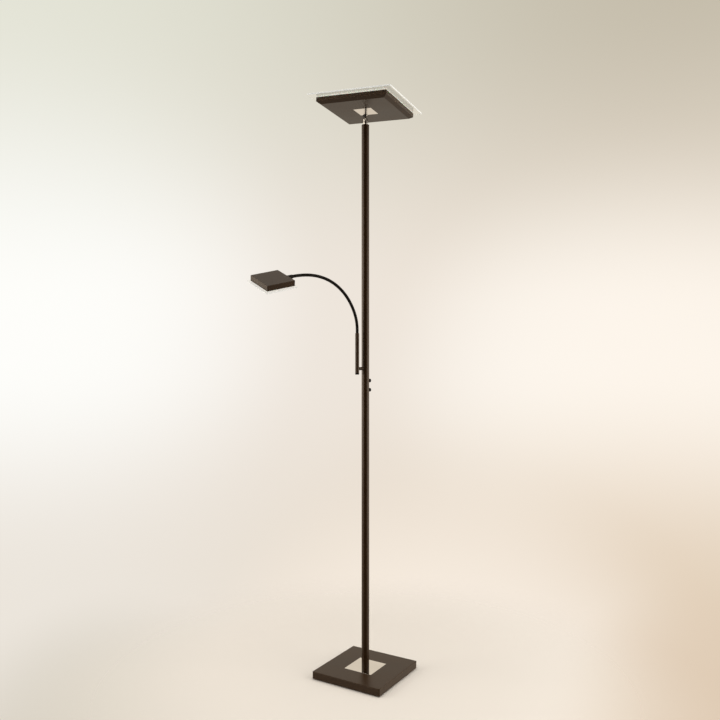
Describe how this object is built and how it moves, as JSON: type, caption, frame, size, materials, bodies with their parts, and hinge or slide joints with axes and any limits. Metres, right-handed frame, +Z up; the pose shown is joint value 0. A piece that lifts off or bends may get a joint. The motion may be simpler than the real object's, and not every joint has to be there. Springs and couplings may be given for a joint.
{
  "type": "floor lamp",
  "caption": "Tall square-based torchiere floor lamp: a tilting square pan uplight under a glass plate, and a reading light on a ribbed flexible neck.",
  "frame": {"origin": "floor under the middle of the square base", "axes": "+Z up along the pole, X and Y along the base's sides"},
  "size_m": [0.3543, 0.5198, 1.807],
  "materials": {
    "brown_paint": "satin",
    "neck_coat": "satin",
    "bright_chrome": "polished",
    "zinc_steel": "satin",
    "post_metal": "satin",
    "weight_iron": "matte",
    "pad_rubber": "matte",
    "black_plastic": "satin",
    "lead_jacket": "matte",
    "driver_case": "matte",
    "clear_glass": "gloss",
    "opal_diffuser": "satin",
    "board_white": "satin",
    "led_phosphor": "satin"
  },
  "bodies": {
    "stand": {"base_pad": "pad_rubber", "base_weight": "weight_iron", "base_cover": "brown_paint", "base_inlay": "bright_chrome", "mains_gland": "black_plastic", "driver_box": "driver_case", "base_nipple": "zinc_steel", "base_lock_nut": "zinc_steel", "base_washer": "zinc_steel", "base_spacer": "zinc_steel", "cover_buffers": "pad_rubber", "pole_lower": "brown_paint", "pole_upper": "brown_paint", "pole_foot_plug": "zinc_steel", "pole_coupling": "zinc_steel", "pole_top_cap": "brown_paint", "pole_lead": "lead_jacket", "head_dimmer_body": "black_plastic", "reading_dimmer_body": "black_plastic", "dimmer_nuts": "zinc_steel", "arm_stub": "brown_paint", "stub_nut": "zinc_steel", "arm_holder": "brown_paint", "holder_end_plug": "black_plastic", "swivel_lower": "bright_chrome", "swivel_washer": "black_plastic", "swivel_nut": "zinc_steel", "lead_sleeve": "lead_jacket"},
    "uplight": {"swivel_upper": "bright_chrome", "swivel_screw": "bright_chrome", "head_pan": "brown_paint", "head_inlay": "bright_chrome", "head_washer": "zinc_steel", "head_nut": "zinc_steel", "board_studs": "post_metal", "head_board": "board_white", "head_leds": "led_phosphor", "head_diffuser": "opal_diffuser", "head_glass": "clear_glass", "glass_posts": "post_metal", "glass_caps": "bright_chrome"},
    "head_dimmer": {"head_dimmer_shaft": "zinc_steel", "head_dimmer_knob": "black_plastic"},
    "reading_dimmer": {"reading_dimmer_shaft": "zinc_steel", "reading_dimmer_knob": "black_plastic"},
    "neck_length_1": {"neck_1": "neck_coat"},
    "neck_length_2": {"neck_2": "neck_coat"},
    "neck_length_3": {"neck_3": "neck_coat"},
    "neck_length_4": {"neck_4": "neck_coat"},
    "neck_length_5": {"neck_5": "neck_coat"},
    "neck_length_6": {"neck_6": "neck_coat"},
    "reading_light": {"neck_ferrule": "neck_coat", "reading_nut": "zinc_steel", "reading_housing": "brown_paint", "reading_board": "board_white", "reading_leds": "led_phosphor", "reading_diffuser": "opal_diffuser", "reading_posts": "post_metal", "reading_glass": "clear_glass", "reading_caps": "bright_chrome"}
  },
  "joints": [
    {"name": "head_tilt", "type": "hinge", "parent": "stand", "child": "uplight", "pos_m": [0, 0, 1.7488], "axis": [-0.1253, 0.9921, 0], "range_deg": [-62, 57]},
    {"name": "head_dimmer_turn", "type": "hinge", "parent": "stand", "child": "head_dimmer", "pos_m": [0.00612, 0.01478, 0.9258], "axis": [0.3827, 0.9239, 0], "range_deg": [0, 270]},
    {"name": "reading_dimmer_turn", "type": "hinge", "parent": "stand", "child": "reading_dimmer", "pos_m": [0.00612, 0.01478, 0.8965], "axis": [0.3827, 0.9239, 0], "range_deg": [0, 270]},
    {"name": "neck_swing", "type": "hinge", "parent": "stand", "child": "neck_length_1", "pos_m": [-0.01225, -0.02956, 1.0745], "axis": [0, 0, 1], "range_deg": [-90, 90]},
    {"name": "neck_bend_1", "type": "hinge", "parent": "neck_length_1", "child": "neck_length_2", "pos_m": [-0.01616, -0.03903, 1.13718], "axis": [0.9239, -0.3827, 0], "range_deg": [-18, 14]},
    {"name": "neck_bend_2", "type": "hinge", "parent": "neck_length_2", "child": "neck_length_3", "pos_m": [-0.02661, -0.06425, 1.18354], "axis": [0.9239, -0.3827, 0], "range_deg": [-18, 14]},
    {"name": "neck_bend_3", "type": "hinge", "parent": "neck_length_3", "child": "neck_length_4", "pos_m": [-0.04202, -0.10145, 1.21916], "axis": [0.9239, -0.3827, 0], "range_deg": [-18, 14]},
    {"name": "neck_bend_4", "type": "hinge", "parent": "neck_length_4", "child": "neck_length_5", "pos_m": [-0.06103, -0.14733, 1.23973], "axis": [0.9239, -0.3827, 0], "range_deg": [-18, 14]},
    {"name": "neck_bend_5", "type": "hinge", "parent": "neck_length_5", "child": "neck_length_6", "pos_m": [-0.08155, -0.19687, 1.24442], "axis": [0.9239, -0.3827, 0], "range_deg": [-18, 14]},
    {"name": "reading_twist", "type": "hinge", "parent": "neck_length_6", "child": "reading_light", "pos_m": [-0.10569, -0.25516, 1.23435], "axis": [-0.3721, -0.8984, -0.2334], "range_deg": [-20, 70]}
  ],
  "couplings": [
    {"joint": "neck_bend_2", "follows": "neck_bend_1", "ratio": 1},
    {"joint": "neck_bend_3", "follows": "neck_bend_1", "ratio": 1},
    {"joint": "neck_bend_4", "follows": "neck_bend_1", "ratio": 1},
    {"joint": "neck_bend_5", "follows": "neck_bend_1", "ratio": 1}
  ]
}
